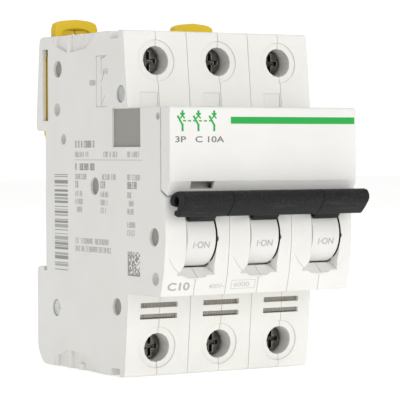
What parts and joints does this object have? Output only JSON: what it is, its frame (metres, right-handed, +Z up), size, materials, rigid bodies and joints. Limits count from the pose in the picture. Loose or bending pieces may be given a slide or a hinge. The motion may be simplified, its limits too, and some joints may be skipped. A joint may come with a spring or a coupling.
{
  "type": "miniature circuit breaker",
  "caption": "Rail-mounted modular circuit breaker with linked toggles, a clip-on front cover, screw clamp terminals at top and bottom, and sliding rail clips.",
  "frame": {"origin": "middle of the rail notch, on the plane where the mounting rail's front face rests", "axes": "+Z up along the terminals' line, -Y towards the front with the toggles, +X to the right as seen from the front"},
  "size_m": [0.0538, 0.0743, 0.0898],
  "materials": {
    "case_plastic": "fine satin moulded grain, warm light grey",
    "cover_plastic": "smooth satin moulded plastic",
    "drum_plastic": "smooth satin moulded plastic",
    "toggle_plastic": "fine spark-eroded grain",
    "clip_plastic": "satin moulded plastic",
    "dark_plastic": "matte glass-filled plastic",
    "flag_plastic": "satin moulded plastic",
    "zinc_steel": "zinc plated, slightly dull",
    "screw_steel": "dark passivated steel",
    "copper": "drawn copper, lightly tarnished",
    "fibre_board": "pressed fibre cards with steel plates"
  },
  "bodies": {
    "casing": {"pole1_left_shell": "case_plastic", "pole1_right_shell": "case_plastic", "pole2_left_shell": "case_plastic", "pole2_right_shell": "case_plastic", "pole3_left_shell": "case_plastic", "pole3_right_shell": "case_plastic", "front_cover": "cover_plastic", "row_rivet_1": "zinc_steel", "row_rivet_2": "zinc_steel", "pole1_upper_strip": "copper", "pole1_lower_strip": "copper", "pole1_bimetal": "zinc_steel", "pole1_yoke": "zinc_steel", "pole1_coil": "copper", "pole1_arc_chute": "fibre_board", "pole2_upper_strip": "copper", "pole2_lower_strip": "copper", "pole2_bimetal": "zinc_steel", "pole2_yoke": "zinc_steel", "pole2_coil": "copper", "pole2_arc_chute": "fibre_board", "pole3_upper_strip": "copper", "pole3_lower_strip": "copper", "pole3_bimetal": "zinc_steel", "pole3_yoke": "zinc_steel", "pole3_coil": "copper", "pole3_arc_chute": "fibre_board"},
    "toggle": {"pole1_toggle_drum": "drum_plastic", "pole1_toggle_lever": "toggle_plastic", "pole2_toggle_drum": "drum_plastic", "pole2_toggle_lever": "toggle_plastic", "pole3_toggle_drum": "drum_plastic", "pole3_toggle_lever": "toggle_plastic", "toggle_tie_bar": "toggle_plastic", "toggle_tie_pin": "zinc_steel"},
    "trip_linkage": {"trip_shaft": "dark_plastic", "pole1_trip_lever": "dark_plastic", "pole2_trip_lever": "dark_plastic", "pole3_trip_lever": "dark_plastic"},
    "trip_indicator": {"trip_flag": "flag_plastic"},
    "contact_arm_1": {"pole1_contact_arm": "copper"},
    "contact_arm_2": {"pole2_contact_arm": "copper"},
    "contact_arm_3": {"pole3_contact_arm": "copper"},
    "plunger_1": {"pole1_plunger": "zinc_steel"},
    "plunger_2": {"pole2_plunger": "zinc_steel"},
    "plunger_3": {"pole3_plunger": "zinc_steel"},
    "top_screw_1": {"pole1_top_screw": "screw_steel"},
    "top_cage_1": {"pole1_top_clamp_cage": "zinc_steel"},
    "top_screw_2": {"pole2_top_screw": "screw_steel"},
    "top_cage_2": {"pole2_top_clamp_cage": "zinc_steel"},
    "top_screw_3": {"pole3_top_screw": "screw_steel"},
    "top_cage_3": {"pole3_top_clamp_cage": "zinc_steel"},
    "bottom_screw_1": {"pole1_bottom_screw": "screw_steel"},
    "bottom_cage_1": {"pole1_bottom_clamp_cage": "zinc_steel"},
    "bottom_screw_2": {"pole2_bottom_screw": "screw_steel"},
    "bottom_cage_2": {"pole2_bottom_clamp_cage": "zinc_steel"},
    "bottom_screw_3": {"pole3_bottom_screw": "screw_steel"},
    "bottom_cage_3": {"pole3_bottom_clamp_cage": "zinc_steel"},
    "rail_clip_1_body": {"rail_clip_1": "clip_plastic"},
    "rail_clip_2_body": {"rail_clip_2": "clip_plastic"}
  },
  "joints": [
    {"name": "toggle_swing", "type": "hinge", "parent": "casing", "child": "toggle", "pos_m": [0, -0.0556, -0.0081], "axis": [1, 0, 0], "range_deg": [0, 78]},
    {"name": "trip_turn", "type": "hinge", "parent": "casing", "child": "trip_linkage", "pos_m": [0, -0.0263, 0.0037], "axis": [1, 0, 0], "range_deg": [0, 7], "stiffness_Nm_per_rad": 0.001, "springref_deg": -17.19},
    {"name": "trip_indicator_drop", "type": "slide", "parent": "casing", "child": "trip_indicator", "axis": [0, 0, -1], "range_m": [0, 0.00195]},
    {"name": "contact_arm_1_open", "type": "hinge", "parent": "casing", "child": "contact_arm_1", "pos_m": [-0.018, -0.036, -0.006], "axis": [1, 0, 0], "range_deg": [-20, 0]},
    {"name": "contact_arm_2_open", "type": "hinge", "parent": "casing", "child": "contact_arm_2", "pos_m": [0, -0.036, -0.006], "axis": [1, 0, 0], "range_deg": [-20, 0]},
    {"name": "contact_arm_3_open", "type": "hinge", "parent": "casing", "child": "contact_arm_3", "pos_m": [0.018, -0.036, -0.006], "axis": [1, 0, 0], "range_deg": [-20, 0]},
    {"name": "plunger_1_strike", "type": "slide", "parent": "casing", "child": "plunger_1", "axis": [0, 0, -1], "range_m": [0, 0.0014], "stiffness_N_per_m": 60, "springref_m": -0.002},
    {"name": "plunger_2_strike", "type": "slide", "parent": "casing", "child": "plunger_2", "axis": [0, 0, -1], "range_m": [0, 0.0014], "stiffness_N_per_m": 60, "springref_m": -0.002},
    {"name": "plunger_3_strike", "type": "slide", "parent": "casing", "child": "plunger_3", "axis": [0, 0, -1], "range_m": [0, 0.0014], "stiffness_N_per_m": 60, "springref_m": -0.002},
    {"name": "top_screw_1_turn", "type": "hinge", "parent": "casing", "child": "top_screw_1", "pos_m": [-0.018, -0.032, 0.0346], "axis": [0, 1, 0], "range_deg": [0, 1800]},
    {"name": "top_cage_1_rise", "type": "slide", "parent": "casing", "child": "top_cage_1", "axis": [0, -1, 0], "range_m": [0, 0.004]},
    {"name": "top_screw_2_turn", "type": "hinge", "parent": "casing", "child": "top_screw_2", "pos_m": [0, -0.032, 0.0346], "axis": [0, 1, 0], "range_deg": [0, 1800]},
    {"name": "top_cage_2_rise", "type": "slide", "parent": "casing", "child": "top_cage_2", "axis": [0, -1, 0], "range_m": [0, 0.004]},
    {"name": "top_screw_3_turn", "type": "hinge", "parent": "casing", "child": "top_screw_3", "pos_m": [0.018, -0.032, 0.0346], "axis": [0, 1, 0], "range_deg": [0, 1800]},
    {"name": "top_cage_3_rise", "type": "slide", "parent": "casing", "child": "top_cage_3", "axis": [0, -1, 0], "range_m": [0, 0.004]},
    {"name": "bottom_screw_1_turn", "type": "hinge", "parent": "casing", "child": "bottom_screw_1", "pos_m": [-0.018, -0.032, -0.036], "axis": [0, 1, 0], "range_deg": [0, 1800]},
    {"name": "bottom_cage_1_rise", "type": "slide", "parent": "casing", "child": "bottom_cage_1", "axis": [0, -1, 0], "range_m": [0, 0.004]},
    {"name": "bottom_screw_2_turn", "type": "hinge", "parent": "casing", "child": "bottom_screw_2", "pos_m": [0, -0.032, -0.036], "axis": [0, 1, 0], "range_deg": [0, 1800]},
    {"name": "bottom_cage_2_rise", "type": "slide", "parent": "casing", "child": "bottom_cage_2", "axis": [0, -1, 0], "range_m": [0, 0.004]},
    {"name": "bottom_screw_3_turn", "type": "hinge", "parent": "casing", "child": "bottom_screw_3", "pos_m": [0.018, -0.032, -0.036], "axis": [0, 1, 0], "range_deg": [0, 1800]},
    {"name": "bottom_cage_3_rise", "type": "slide", "parent": "casing", "child": "bottom_cage_3", "axis": [0, -1, 0], "range_m": [0, 0.004]},
    {"name": "rail_clip_1_pull", "type": "slide", "parent": "casing", "child": "rail_clip_1_body", "axis": [0, 0, 1], "range_m": [0, 0.003]},
    {"name": "rail_clip_2_pull", "type": "slide", "parent": "casing", "child": "rail_clip_2_body", "axis": [0, 0, 1], "range_m": [0, 0.003]}
  ],
  "couplings": [
    {"joint": "contact_arm_1_open", "follows": "toggle_swing", "ratio": -0.256},
    {"joint": "contact_arm_2_open", "follows": "toggle_swing", "ratio": -0.256},
    {"joint": "contact_arm_3_open", "follows": "toggle_swing", "ratio": -0.256},
    {"joint": "top_screw_1_turn", "follows": "top_cage_1_rise", "rad_per_m": 7853.9},
    {"joint": "top_screw_2_turn", "follows": "top_cage_2_rise", "rad_per_m": 7853.9},
    {"joint": "top_screw_3_turn", "follows": "top_cage_3_rise", "rad_per_m": 7853.9},
    {"joint": "bottom_screw_1_turn", "follows": "bottom_cage_1_rise", "rad_per_m": 7853.9},
    {"joint": "bottom_screw_2_turn", "follows": "bottom_cage_2_rise", "rad_per_m": 7853.9},
    {"joint": "bottom_screw_3_turn", "follows": "bottom_cage_3_rise", "rad_per_m": 7853.9}
  ]
}
